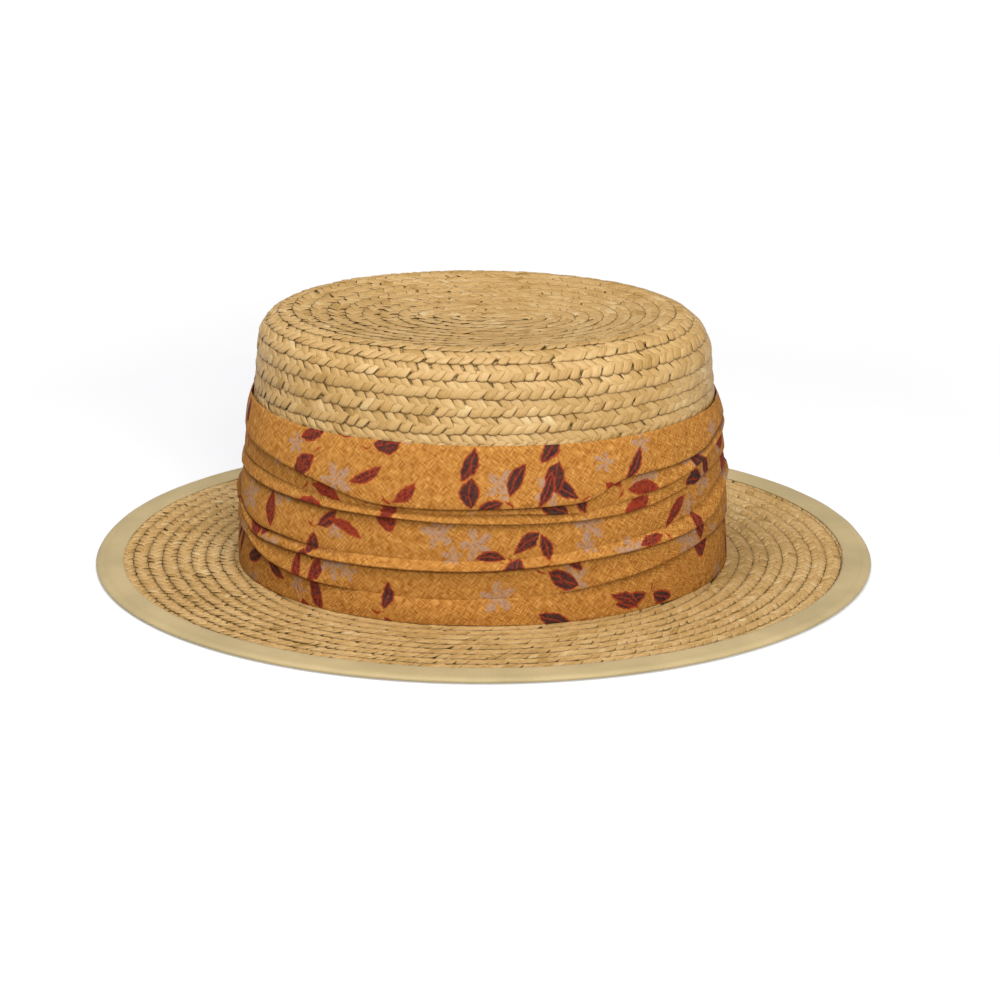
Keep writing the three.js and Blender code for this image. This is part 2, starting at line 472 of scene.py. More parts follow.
@dataclass(frozen=True)
class StrawFinish:
    """Bleached wheat straw, split, flattened and plaited: satin, with fine fibres along each straw
    and every straw a little different in colour. Its shade colour is painted shade, mixed in where the mesh's
    painted light attribute is low."""

    name: str
    stops: Stops
    painted_shade: str = "5e4420"
    fibre: float = 0.35 * MM
    fibre_run: float = 6.0 * MM
    fibre_tone: float = 0.62
    crinkle: float = 1.8 * MM
    patch: float = 45.0 * MM
    patch_tone: float = 0.5
    roughness: float = 0.52
    gloss: float = 0.36

    def material(self) -> bpy.types.Material:
        """Build the material from the straws' own UV map and attributes."""
        graph = Graph(self.name)
        uv = graph.add("UVMap", uv_map="UVMap")
        along = graph.add("Mapping", {0: uv, "Scale": (1.0 / self.fibre_run, 1.0 / self.fibre, 1.0)})
        fibres = graph.noise(along, 1.0, 3.0)
        patches = graph.noise(graph.add("TexCoord", output="Object"), 1.0 / self.patch, solid=True)
        fibre_part = graph.maths("MULTIPLY_ADD", fibres, self.fibre_tone, -self.fibre_tone / 2.0)
        patch_part = graph.maths("MULTIPLY_ADD", patches, self.patch_tone, -self.patch_tone / 2.0)
        both = graph.maths("ADD", fibre_part, patch_part)
        tone = graph.maths("ADD", both, graph.attribute("tint"))
        # Painted shade: the shade colour is mixed in where the mesh's painted light attribute falls below 1
        colour = graph.mix(graph.attribute("depth"), linear(self.painted_shade), graph.ramp(tone, self.stops))
        wavy = graph.bump(graph.noise(uv, 1.0 / self.crinkle), 0.5, 0.3 * MM)
        return graph.surface({
            "Base Color": colour, "Roughness": self.roughness, "Specular IOR Level": self.gloss,
            "Normal": graph.bump(fibres, 0.6, 0.16 * MM, Normal=wavy)})


@dataclass(frozen=True)
class Leaf:
    """One leaf or stem of a printed sprig: its bearing, how far it starts from the sprig's root, its
    length and half width in millimetres, and its bow to one side."""

    turn: float
    start: float
    length: float
    width: float
    bow: float = 0.3


@dataclass(frozen=True)
class Motif:
    """One kind of printed motif, strewn by chance: leaves on a stem, or a blossom."""

    spacing: float
    shift: tuple[float, float, float]
    kept: float
    leaves: tuple[Leaf, ...] = ()
    petals: float = 0.0


@dataclass(frozen=True)
class ClothFinish:
    """Ochre linen cloth cut on the bias, woven from slubby yarn and printed with sprigs of leaves and
    pale blossoms: matt, with soft lighter slubs that run slantwise."""

    name: str = "printed slub linen"
    ground: str = "966126"
    ground_dark: str = "7d4d1d"
    slub: str = "ab7838"
    thick_slub: str = "bb8b4a"
    yarn: float = 0.34 * MM
    slub_run: float = 4.0 * MM
    slub_range: tuple[float, float] = (0.76, 1.24)
    bias: float = math.radians(38.0)
    outline: str = "771f14"
    outline_light: str = "8e2e1c"
    leaf: str = "3a121b"
    leaf_deep: str = "17111c"
    blossom: str = "937b6d"
    blossom_deep: str = "786661"
    # Painted shade: the dark colour laid into the band's folds and tucks
    painted_crease_shade: str = "3c1606"
    worn: float = 0.12
    roughness: float = 0.88
    scatter: float = 0.62
    ragged: float = 1.5
    petal_ink: float = 0.7
    line_ink: float = 0.93
    fill_ink: float = 0.94
    vein_ink: float = 0.75
    petal_edge: tuple[float, float] = (0.0, 0.6)
    line_edge: tuple[float, float] = (0.0, 0.25)
    fill_edge: tuple[float, float] = (0.6, 1.0)
    vein_edge: tuple[float, float] = (0.4, 0.16)
    vein_inset: tuple[float, float] = (1.1, 1.7)
    sprigs: tuple[Motif, ...] = (
        Motif(
            33.0 * MM,
            (3.1, 7.7, 0.0),
            0.84,
            (Leaf(0.0, 1.0, 15.0, 3.3), Leaf(2.5, 1.2, 12.5, 2.7, -0.4), Leaf(4.3, 0.0, 6.0, 0.6, 0.9)),
        ),
        Motif(
            34.0 * MM,
            (14.9, 19.3, 0.0),
            0.66,
            (Leaf(0.4, 0.6, 13.0, 4.2, -0.25), Leaf(3.4, -0.5, 5.0, 0.5, 1.0)),
        ),
        Motif(37.0 * MM, (9.2, 26.1, 0.0), 0.5, (Leaf(0.0, -8.0, 16.0, 2.5, 0.5),)),
    )
    blossoms: tuple[Motif, ...] = (
        Motif(30.0 * MM, (5.3, 1.9, 0.0), 0.7, petals=7.6),
        Motif(24.0 * MM, (8.9, 14.1, 0.0), 0.4, petals=5.0),
    )

    def _cell(self, graph: Graph, cloth: Socket, motif: Motif) -> tuple[Socket, Socket, Socket]:
        """Place one motif in each cell of the cloth, turned by chance.

        Args:
            graph: the material's nodes.
            cloth: the place on the cloth, in millimetres.
            motif: the motif.

        Returns:
            The place from the motif's root in millimetres, whether the cell has its motif, and a
            random number for the cell.
        """
        shifted = graph.vectors("ADD", cloth, motif.shift)
        root = graph.add(
            "TexVoronoi", {"Vector": shifted, "Scale": MM / motif.spacing, "Randomness": self.scatter},
            "Position", voronoi_dimensions="2D")
        chance = graph.add("SeparateColor", {0: root.node.outputs["Color"]}).node.outputs
        away = graph.vectors("SUBTRACT", shifted, root)
        local = graph.turned(away, graph.maths("MULTIPLY", chance[0], TURN))
        return local, graph.maths("LESS_THAN", chance[1], motif.kept), chance[2]

    def _leaf(self, graph: Graph, local: Socket, leaf: Leaf) -> tuple[Socket, Socket]:
        """Draw one leaf that grows from the motif's root.

        Args:
            graph: the material's nodes.
            local: the place from the root, in millimetres.
            leaf: the leaf.

        Returns:
            The distance in from the leaf's edge, and the distance from its midrib.
        """
        parts = graph.parts(graph.turned(local, -leaf.turn))
        # The half width is w (1 - c^2), where c runs from -1 at the stem to 1 at the point
        begin = -1.0 - 2.0 * leaf.start / leaf.length
        centred = graph.maths("MULTIPLY_ADD", parts[0], 2.0 / leaf.length, begin)
        square = graph.maths("MULTIPLY", centred, centred)
        swell = graph.maths("MULTIPLY_ADD", square, -leaf.width, leaf.width)
        bowed = graph.maths("MULTIPLY_ADD", square, leaf.bow * max(leaf.width, 1.2), parts[1])
        off = graph.maths("ABSOLUTE", bowed)
        return graph.maths("SUBTRACT", swell, off), off

    def _sprig(self, graph: Graph, cloth: Socket, motif: Motif) -> tuple[Socket, Socket, Socket, Socket]:
        """Join a sprig's leaves, and mask the cells left bare.

        Args:
            graph: the material's nodes.
            cloth: the place on the cloth, in millimetres.
            motif: the sprig.

        Returns:
            The distance in from the sprig's edge, the distance from the nearest midrib, whether the
            cell has its sprig, and a random number for the cell.
        """
        local, kept, chance = self._cell(graph, cloth, motif)
        inside, off = self._leaf(graph, local, motif.leaves[0])
        for leaf in motif.leaves[1:]:
            more_inside, more_off = self._leaf(graph, local, leaf)
            inside = graph.maths("MAXIMUM", inside, more_inside)
            off = graph.maths("MINIMUM", off, more_off)
        return inside, off, kept, chance

    def _blossom(self, graph: Graph, cloth: Socket, motif: Motif) -> tuple[Socket, Socket]:
        """Draw a loose five petalled blossom in each kept cell.

        Args:
            graph: the material's nodes.
            cloth: the place on the cloth, in millimetres.
            motif: the blossom.

        Returns:
            The distance in from the blossom's edge, and the kept mask.
        """
        local, kept, _ = self._cell(graph, cloth, motif)
        parts = graph.parts(local)
        bearing = graph.maths("ARCTAN2", parts[1], parts[0])
        # Half of five turns of the cosine, taken without its sign, makes five petals
        lobe = graph.maths("COSINE", graph.maths("MULTIPLY", bearing, 2.5))
        full = graph.maths("ABSOLUTE", lobe)
        reach = graph.maths("MULTIPLY_ADD", full, 0.75 * motif.petals, 0.2 * motif.petals)
        radius = graph.length(local)
        return graph.maths("SUBTRACT", reach, radius), kept

    def _weave(self, graph: Graph, uv: Socket) -> Socket:
        """Draw the slubby yarns, coarser than real so that they show.

        Args:
            graph: the material's nodes.
            uv: the place on the cloth, in metres.

        Returns:
            The weave's height, from about 0.6 to 1.4.
        """
        slant = graph.turned(uv, self.bias)
        yarns = []
        for scale in ((1 / self.slub_run, 1 / self.yarn, 1.0), (1 / self.yarn, 1 / self.slub_run, 1.0)):
            along = graph.add("Mapping", {0: slant, "Scale": scale})
            yarns.append(graph.noise(along, 1.0, 3.0, rough=0.6))
        return graph.maths("ADD", *yarns)

    def _print(self, graph: Graph, flat: Socket, base: Socket) -> Socket:
        """Print the blossoms and then the sprigs over the cloth, a little ragged as ink on linen is.

        Args:
            graph: the material's nodes.
            flat: the place on the cloth, in millimetres.
            base: the cloth's own colour.

        Returns:
            The printed colour.
        """
        rag = graph.noise(flat, 0.42, 4.0).node.outputs[1]
        ragged = graph.vectors("MULTIPLY_ADD", rag, (self.ragged, self.ragged, 0.0), flat)
        blot = graph.noise(flat, 0.8, 5.0)
        colour = base
        petal = graph.ramp(blot, ((0.4, self.blossom_deep), (0.58, self.blossom)))
        patchy = graph.edge(blot, 0.36, 0.5)
        for motif in self.blossoms:
            inside, kept = self._blossom(graph, ragged, motif)
            mask = graph.edge(inside, *self.petal_edge)
            colour = graph.over(colour, petal, (mask, kept, patchy), self.petal_ink)
        line = graph.ramp(blot, ((0.4, self.outline), (0.7, self.outline_light)))
        for motif in self.sprigs:
            inside, off, kept, chance = self._sprig(graph, ragged, motif)
            tone = graph.maths("MULTIPLY_ADD", chance, 0.45, blot)
            fill = graph.ramp(tone, ((0.62, self.leaf_deep), (0.79, self.leaf), (0.94, self.outline)))
            # The edges are millimetres in from the leaf's edge, and for the vein from its midrib
            colour = graph.over(colour, line, (graph.edge(inside, *self.line_edge), kept), self.line_ink)
            colour = graph.over(colour, fill, (graph.edge(inside, *self.fill_edge), kept), self.fill_ink)
            vein, deep = graph.edge(off, *self.vein_edge), graph.edge(inside, *self.vein_inset)
            colour = graph.over(colour, line, (vein, deep, kept), self.vein_ink)
        return colour

    def material(self) -> bpy.types.Material:
        """Build the material on the band's UV map, which lies along the cloth in metres."""
        graph = Graph(self.name)
        uv = graph.add("UVMap", uv_map="UVMap")
        flat = graph.vectors("MULTIPLY", uv, (1 / MM, 1 / MM, 1 / MM))
        weave = self._weave(graph, uv)
        slubs = graph.add("MapRange", {0: weave, 1: self.slub_range[0], 2: self.slub_range[1]})
        base = graph.ramp(slubs, (
            (0.1, self.ground_dark), (0.48, self.ground), (0.72, self.slub), (0.95, self.thick_slub)))
        printed = self._print(graph, flat, base)
        faded = graph.mix(graph.maths("MULTIPLY", slubs, self.worn), printed, linear(self.slub))
        return graph.surface({
            # Painted shade: the crease colour is mixed in where the band's painted light attribute is low
            "Base Color": graph.mix(graph.attribute("depth"), linear(self.painted_crease_shade), faded),
            "Roughness": self.roughness, "Specular IOR Level": 0.1,
            "Normal": graph.bump(weave, 0.6, 0.2 * MM)})


@dataclass(frozen=True)
class RibbonFinish:
    """Cotton grosgrain ribbon: fine ribs across the ribbon and a soft low sheen."""

    name: str = "grosgrain ribbon"
    pale: str = "ac996f"
    deep: str = "9d8c64"
    painted_shade: str = "7d7049"
    rib: float = 0.9 * MM
    patch: float = 30.0 * MM
    roughness: float = 0.66

    def material(self) -> bpy.types.Material:
        """Build the material on the ribbon's UV map, which lies along the ribbon in metres."""
        graph = Graph(self.name)
        # A wave texture's bands lie about 0.314 / scale apart
        uv = graph.add("UVMap", uv_map="UVMap")
        ribs = graph.add(
            "TexWave", {"Vector": uv, "Scale": 0.314 / self.rib, "Distortion": 0.6, "Detail": 2.0},
            "Fac", wave_type="BANDS", bands_direction="X")
        place = graph.add("TexCoord", output="Object")
        cloud = graph.noise(place, 1.0 / self.patch, 4.0, solid=True)
        colour = graph.ramp(cloud, ((0.36, self.deep), (0.64, self.pale)))
        ribbed = graph.mix(graph.maths("MULTIPLY", ribs, 0.16), colour, linear(self.deep), "MULTIPLY")
        return graph.surface({
            # Painted shade: the shade colour is mixed in where the ribbon's painted light attribute is low
            "Base Color": graph.mix(graph.attribute("depth"), linear(self.painted_shade), ribbed),
            "Roughness": self.roughness, "Specular IOR Level": 0.35,
            "Sheen Weight": 0.1, "Sheen Roughness": 0.4,
            "Normal": graph.bump(ribs, 0.25, 0.08 * MM)})


@dataclass(frozen=True)
class FloorFinish:
    """Matt pale studio paper with the faintest mottling. It glows, a painted light, more towards the back
    so that it reads as white there."""

    name: str = "studio paper with painted glow"
    pale: str = "bebebd"
    deep: str = "bababa"
    glow: float = 0.29
    far_glow: float = 0.57
    reach: tuple[float, float] = (0.3, 0.9)

    def material(self) -> bpy.types.Material:
        """Build the paper's material."""
        graph = Graph(self.name)
        place = graph.add("TexCoord", output="Object")
        away = graph.length(place)
        # Painted light: the paper glows, more strongly further from the middle
        painted_glow = graph.add(
            "MapRange", {0: away, 1: self.reach[0], 2: self.reach[1], 3: self.glow, 4: self.far_glow})
        cloud = graph.noise(place, 6.0, solid=True)
        return graph.surface({
            "Base Color": graph.ramp(cloud, ((0.3, self.deep), (0.7, self.pale))),
            "Roughness": 0.9, "Specular IOR Level": 0.1,
            "Emission Color": (1.0, 1.0, 1.0, 1.0), "Emission Strength": painted_glow})


# The plait


@dataclass(frozen=True)
class Scatter:
    """How straws differ by chance: a spread, or a lowest and highest share of the plain value. Tones
    are positions on the finish's ramp, and an odd straw now and then is paler or darker."""

    aside: float = 0.09
    width: tuple[float, float] = (0.82, 1.16)
    height: float = 0.08 * MM
    twist: float = 0.08 * MM
    lean: tuple[float, float] = (0.65, 1.35)
    root: float = 0.04
    tip: float = 0.022
    tone: float = 0.55
    tone_spread: float = 0.065
    pale_below: float = 0.04
    pale: float = 0.13
    dark_above: float = 0.955
    dark: float = 0.14
    fibres: float = 40.0 * MM


@dataclass
class Plait:
    """A plait of flat straws sewn in a spiral. Each straw shows as a short curved strip that comes
    out from under the other rank and folds over at the row's edge.

    It is made in code and not from a primitive, because its thousands of straws follow the hat's
    own surface and each one differs.
    """

    surface: Callable[[np.ndarray, np.ndarray, np.ndarray], np.ndarray]
    first_row: float
    last_row: float
    phase: float
    face: Face = Face.OUTSIDE
    stitch: float = 4.5 * MM
    strand: float = 4.05 * MM
    seat: float = 0.5 * MM
    lap: float = 0.5 * MM
    arch: float = 0.12 * MM
    dive: float = 0.3 * MM
    roll: float = 0.16 * MM
    camber: float = 0.16 * MM
    overlap: float = 0.14 * MM
    thickness: float = 0.24 * MM
    relief: float = 1.0
    ridge: float = 0.1 * MM
    slant: float = 0.95
    corner: float = 0.14
    # How strongly painted shade darkens the row's edges, and how light each straw's border is painted
    painted_groove_shade: float = 0.15
    painted_border_light: float = 0.55
    calm_rows: float = 0.0
    calm: float = 1.0
    root: float = -0.24
    reach: float = 0.83
    along: tuple[float, ...] = (0.0, 0.25, 0.55, 0.84, 1.0)
    across: tuple[float, ...] = (-1.0, -0.82, 0.0, 0.82, 1.0)
    base: float = 0.0
    lies_flat: bool = False
    seed: int = 7
    scatter: Scatter = Scatter()
    steps_a_turn: int = 720
    shortest_row: float = 1.0 * MM

    def _stations(self) -> tuple[np.ndarray, np.ndarray, np.ndarray]:
        """Walk the spiral and mark a station at each stitch.

        Returns:
            Turns walked at each station, metres per turn there and metres per row there.
        """
        count = int((self.last_row - self.first_row) * self.steps_a_turn)
        turns = np.linspace(self.first_row, self.last_row, count)
        line = self.surface(self._bearing(turns), turns, np.zeros_like(turns))
        steps = np.linalg.norm(np.diff(line, axis=0), axis=1)
        walked = np.concatenate([[0.0], np.cumsum(steps)])
        marks = np.arange(int(walked[-1] / self.stitch)) * self.stitch + self.stitch / 2.0
        at = np.interp(marks, walked, turns)
        pace = np.interp(at, turns, np.gradient(walked, turns))
        small = 0.02
        bearing = self._bearing(at)
        low = self.surface(bearing, at - small, np.zeros_like(at))
        high = self.surface(bearing, at + small, np.zeros_like(at))
        row = np.linalg.norm(high - low, axis=1) / (2.0 * small)
        seen = row > self.shortest_row
        return at[seen], pace[seen], row[seen]

    def _bearing(self, turns: np.ndarray) -> np.ndarray:
        """Bearing of the spiral after so many rows: the plait runs clockwise seen from above."""
        return TURN * (self.phase - turns)

    def build(self, name: str, material: bpy.types.Material) -> bpy.types.Object:
        """Lay every straw of the plait and join them into one piece.

        Args:
            name: the piece's name.
            material: its finish.

        Returns:
            The piece.
        """
        draws = np.random.default_rng(self.seed)
        stations = self._stations()
        laid = [self._straws(rank, stations, draws) for rank in Rank]
        points, uv, tints, painted_lights = (np.stack(part) for part in zip(*laid))
        piece = self._join(name, points)
        set_uv(piece.data, uv.reshape(-1, 2))
        set_values(piece.data, "tint", tints.ravel())
        # The painted light share paints shade on each straw
        set_values(piece.data, "depth", painted_lights.ravel())
        finish_mesh(piece, material)
        # The underside stays flat shaded, so that the straw's top keeps its own normals to the edge
        corners = np.empty(len(piece.data.polygons), dtype=np.int32)
        piece.data.polygons.foreach_get("loop_total", corners)
        piece.data.polygons.foreach_set("use_smooth", corners == 4)
        return piece

    def _straws(
        self, rank: Rank, stations: tuple[np.ndarray, np.ndarray, np.ndarray], draws: np.random.Generator
    ) -> tuple[np.ndarray, np.ndarray, np.ndarray, np.ndarray]:
        """Lay the straws of one rank, one at each station.

        Args:
            rank: the rank.
            stations: turns walked, metres per turn and metres per row at each station.
            draws: the random source.

        Returns:
            Points, UV places, tints and painted light shares, each straws by points.
        """
        at, pace, row = (part[:, None] for part in stations)
        count = len(at)
        chance = self.scatter
        grid_u, grid_v = (part.ravel() for part in np.meshgrid(self.along, self.across, indexing="ij"))
        border = (grid_u < 0.01) | (grid_u > 0.99) | (np.abs(grid_v) > 0.99)
        shift = 0.25 * self.stitch * rank.value
        aside = draws.normal(0.0, chance.aside, count)[:, None] * self.stitch
        wide = draws.uniform(*chance.width, count)[:, None]
        high = draws.normal(0.0, chance.height, count)[:, None]
        twist = draws.normal(self.overlap, chance.twist, count)[:, None]
        lean = self.slant * draws.uniform(*chance.lean, count)[:, None]
        root = self.root + draws.normal(0.0, chance.root, count)[:, None]
        tip = self.root + self.reach + draws.normal(0.0, chance.tip, count)[:, None]
        run = lean * self.stitch
        rise = (tip - root) * row
        size = np.hypot(run, rise)
        # Each straw is a slanting strip cut along the row, its leading corner worn round
        half = 0.5 * self.strand * wide * (1.0 - 0.12 * np.abs(2.0 * grid_u - 1.0) ** 5)
        across = half * grid_v
        lead = np.clip(-grid_v, 0.0, 1.0) ** 2 + 0.3 * np.clip(grid_v, 0.0, 1.0) ** 2
        walk = grid_u * (1.0 - self.corner * lead * grid_u**3)
        along = shift + aside + run * (walk - 0.5) - size / rise * across
        share = root + (tip - root) * walk
        relief = self.relief * np.interp(at, [self.calm_rows - 1.0, self.calm_rows + 1.5], [self.calm, 1.0])
        height = self.base - self.seat + relief * (
            high
            + self.lap * (0.5 + self.face.value * rank.value * share)
            + self.arch * np.sin(math.pi * (0.1 + 0.8 * grid_u))
            + self.ridge * np.cos(math.pi * share)
            - self.dive * (1.0 - grid_u) ** 3
            - self.roll * grid_u**5
            - self.camber * grid_v**2
            + twist * grid_v
            - np.where(border, self.thickness, 0.0)
        )
        place = at + along / pace
        row_at = place + rank.value * share
        points = self.surface(self._bearing(place), row_at, self.face.value * height)
        # Each straw takes another stretch of the fibres
        offset = draws.uniform(0.0, chance.fibres, (count, 2))
        straw_u = size * (walk - 0.5) - run / rise * across + offset[:, :1]
        straw_v = across + offset[:, 1:]
        odd = draws.random(count)
        accent = chance.pale * (odd < chance.pale_below) - chance.dark * (odd > chance.dark_above)
        tone = np.clip(draws.normal(chance.tone, chance.tone_spread, count) + accent, 0.02, 0.98)
        tints = np.repeat(tone[:, None], len(grid_u), axis=1)
        # Painted shade: each straw is darker where it comes out from under the other rank, at its border and
        # towards the row's edges, where shade falls between straws and rows
        painted_straw_light = (0.2 + 0.8 * smooth(0.0, 0.25, grid_u)) * np.where(border, self.painted_border_light, 1.0)
        painted_row_edge_shade = smooth(0.34, 0.54, np.abs(share))
        painted_lights = (0.6 + 0.4 * painted_straw_light) * (1.0 - self.painted_groove_shade * painted_row_edge_shade)
        return points, np.stack([straw_u, straw_v], axis=-1), tints, painted_lights

    def _join(self, name: str, points: np.ndarray) -> bpy.types.Object:
        """Make one mesh of all the straws, each a curved top closed by one face underneath.

        Args:
            name: the piece's name.
            points: ranks by straws by points by 3.

        Returns:
            The piece.
        """
        ranks, count, each, _ = points.shape
        wide, last = len(self.across), each - len(self.across)
        first = np.add.outer(np.arange(0, last, wide), np.arange(wide - 1)).ravel()
        quads = np.stack([first, first + wide, first + wide + 1, first + 1], axis=1)
        loop = np.concatenate([
            np.arange(0, last, wide), np.arange(last, last + wide - 1),
            np.arange(last + wide - 1, wide - 1, -wide), np.arange(wide - 1, 0, -1)])
        corner_lists, sizes = [], []
        for number in range(ranks):
            flip = self._looks_in(points[number], quads[0])
            top = quads[:, ::-1] if flip else quads
            under = loop if flip else loop[::-1]
            starts = (np.arange(count) + number * count) * each
            one = np.concatenate([top.ravel(), under])
            corner_lists.append((starts[:, None] + one[None, :]).ravel())
            sizes.append(np.tile(np.concatenate([np.full(len(top), 4), [len(under)]]), count))
        corners = np.concatenate(corner_lists)
        totals = np.concatenate(sizes)
        mesh = bpy.data.meshes.new(name)
        mesh.vertices.add(ranks * count * each)
        mesh.vertices.foreach_set("co", points.astype(np.float32).ravel())
        mesh.loops.add(len(corners))
        mesh.loops.foreach_set("vertex_index", corners.astype(np.int32))
        mesh.polygons.add(len(totals))
        begins = np.concatenate([[0], np.cumsum(totals)[:-1]])
        mesh.polygons.foreach_set("loop_start", begins.astype(np.int32))
        mesh.update(calc_edges=True)
        return add_object(name, mesh)

    def _looks_in(self, straws: np.ndarray, quad: np.ndarray) -> bool:
        """Say whether a face of a rank's middle straw faces into the wall.

        Args:
            straws: the rank's points, straws by points by 3.
            quad: the four corners of one face.

        Returns:
            True if the faces have to be turned over.
        """
        middle = straws[len(straws) // 2]
        a, b, d = middle[quad[0]], middle[quad[1]], middle[quad[3]]
        normal = np.cross(b - a, d - a)
        away = np.array([0.0, 0.0, 1.0]) if self.lies_flat else a * np.array([1.0, 1.0, 0.0])
        return float(np.dot(normal, away)) * self.face.value < 0.0


# Straws that show only from inside or below are drawn with fewer points
PLAIN_STRAWS: dict[str, object] = {
    "stitch": 4.7 * MM, "slant": 0.8, "along": (0.0, 0.4, 0.8, 1.0), "across": (-1.0, -0.4, 0.4, 1.0),
}


# Sub-assemblies


@dataclass
class Crown:
    """The crown: a straw wall, hollow inside, with plait on both faces."""

    form: HatForm
    phase: float = 0.07
    columns: int = 128
    profile_rows: int = 44
    sunk: float = 1.25 * MM
    inner_plait: float = 0.55 * MM
    foot_sunk: float = 0.2 * MM
    uv_radius: float = 0.09

    def _wall(self, u: np.ndarray, v: np.ndarray) -> Laid:
        """Lay the wall's grid: outside from the tip's middle to the foot, then back up inside."""
        form = self.form
        angle = TURN * u
        outer = v <= 0.5
        share = np.where(outer, v * 2.0, (1.0 - v) * 2.0)
        row = share * form.last_row()
        out = np.where(outer, -self.sunk, -form.wall + self.inner_plait)
        points = form.crown(angle, row, out)
        pole = (v < 1e-6) | (v > 1.0 - 1e-6)
        centre = form.crown(np.zeros(1), np.zeros(1), np.zeros(1))[0]
        points[pole, 0] = form.start_shift
        points[pole, 1] = 0.0
        points[pole, 2] = centre[2] + out[pole]
        points[row >= form.last_row() - 1e-6, 2] = form.straw_top - self.foot_sunk
        return points, np.stack([angle * self.uv_radius, row * form.side_pitch], axis=1), wall_values(len(u))

    def build(self, straw: bpy.types.Material, shaded: bpy.types.Material) -> list[bpy.types.Object]:
        """Build the wall, the outer plait and the inner plait.

        Args:
            straw: finish of the outer straws.
            shaded: finish of the wall and of the straws inside.

        Returns:
            The pieces.
        """
        wall = wrapped_grid("crown_wall", self.columns, self.profile_rows, self._wall, True)
        finish_mesh(wall, shaded)
        first = 0.5 + self.phase
        outer = Plait(
            self.form.crown, first - 0.7, self.form.band_row() + 1.3, self.phase, seed=11,
            calm_rows=self.form.tip_rows, calm=0.6, base=-0.2 * MM)
        inner = Plait(
            self.form.crown, first, self.form.last_row() - 0.45, self.phase, Face.INSIDE, seed=12,
            strand=5.2 * MM, base=self.form.wall, lap=0.7 * MM, **PLAIN_STRAWS)
        return [wall, outer.build("crown_plait", straw), inner.build("crown_inner_plait", shaded)]


@dataclass
class Brim:
    """The brim: a flat straw ring in sewn rows, plaited on both faces."""

    form: HatForm
    phase: float = -0.09
    side_start: float = 5.8 * MM
    side_pitch: float = 5.95 * MM
    front_start: float = 14.6 * MM
    front_pitch: float = 5.3 * MM
    columns: int = 160
    profile_rows: int = 40
    sunk: float = 1.0 * MM
    underside: float = 0.85 * MM
    head_gap: float = 0.2 * MM
    under_ribbon: float = 1.4 * MM
    uv_length: float = 0.8

    def _wall(self, u: np.ndarray, v: np.ndarray) -> Laid:
        """Lay the wall's grid round its section: top, outer edge, underside and inner edge."""
        form = self.form
        top, under = form.straw_top - self.sunk, self.underside
        # The straw ends a little in from the rim, under the ribbon
        inner, edge = self.head_gap, form.rim - self.under_ribbon
        corners = [0.0, 0.45, 0.5, 0.95, 1.0]
        reach = np.interp(v, corners, [inner, edge, edge, inner, inner])
        level = np.interp(v, corners, [top, top, under, under, top])
        points = form.brim(TURN * u, reach, level)
        return points, np.stack([u * self.uv_length, reach], axis=1), wall_values(len(u))

    def _rows(self, angle: np.ndarray, row: np.ndarray, out: np.ndarray) -> np.ndarray:
        """Points of the brim's top by row, counted outward: the rows lie further out at the front."""
        front = smooth(0.2, 1.0, -np.sin(angle))
        start = self.side_start + (self.front_start - self.side_start) * front
        pitch = self.side_pitch + (self.front_pitch - self.side_pitch) * front
        reach = np.maximum(start + row * pitch, (0.4 + 0.25 * (row + 3.0)) * MM)
        return self.form.brim(angle, reach, self.form.straw_top + out)

    def build(self, straw: bpy.types.Material, shaded: bpy.types.Material) -> list[bpy.types.Object]:
        """Build the wall and the plait on its two faces.

        Args:
            straw: finish of the straws on top.
            shaded: finish of the wall and of the straws underneath.

        Returns:
            The pieces.
        """
        form = self.form
        wall = wrapped_grid("brim_wall", self.columns, self.profile_rows, self._wall, True)
        finish_mesh(wall, shaded)
        last = (form.rim - form.ribbon_reach - self.side_start + 1.2 * MM) / self.side_pitch
        top = Plait(
            self._rows, -2.3, last + 0.55, self.phase, seed=21, relief=0.9, ridge=0.42 * MM,
            painted_groove_shade=0.5, calm_rows=0.3, calm=0.45, lies_flat=True, stitch=3.9 * MM, strand=3.6 * MM)
        below = Plait(
            self._rows, -2.2, last + 0.2, self.phase, Face.INSIDE, seed=22, lies_flat=True,
            strand=4.6 * MM, base=form.straw_top - 0.3 * MM, lap=0.3 * MM, **PLAIN_STRAWS)
        return [wall, top.build("brim_plait", straw), below.build("brim_under_plait", shaded)]


@dataclass(frozen=True)
class Fold:
    """One fold of the band: its bearings in degrees, its heights in millimetres above the brim
    there, and how full it is there, from 0, gone, to 1."""

    bearings: tuple[float, ...]
    heights: tuple[float, ...]
    strengths: tuple[float, ...]

    def at(self, degrees: np.ndarray) -> tuple[np.ndarray, np.ndarray]:
        """Height in metres and strength of the fold on bearings from -270 to 90 degrees.

        Args:
            degrees: the bearings.

        Returns:
            Heights and strengths.
        """
        wrapped = (degrees + 270.0) % 360.0 - 270.0
        bearings = np.array(self.bearings)
        looped = np.concatenate([[bearings[-1] - 360.0], bearings, [bearings[0] + 360.0]])
        heights = np.array((self.heights[-1], *self.heights, self.heights[0]))
        strengths = np.array((self.strengths[-1], *self.strengths, self.strengths[0]))
        return (
            self._eased(wrapped, looped, heights) * MM,
            np.clip(np.interp(wrapped, looped, strengths), 0.0, 1.0),
        )

    @staticmethod
    def _eased(at: np.ndarray, bearings: np.ndarray, values: np.ndarray) -> np.ndarray:
        """Join the heights by a smooth curve: each stretch is averaged over a few degrees."""
        spread = np.array([-4.0, -2.0, 0.0, 2.0, 4.0])
        weights = np.array([0.1, 0.22, 0.36, 0.22, 0.1])
        return sum(w * np.interp(at + s, bearings, values) for w, s in zip(weights, spread))


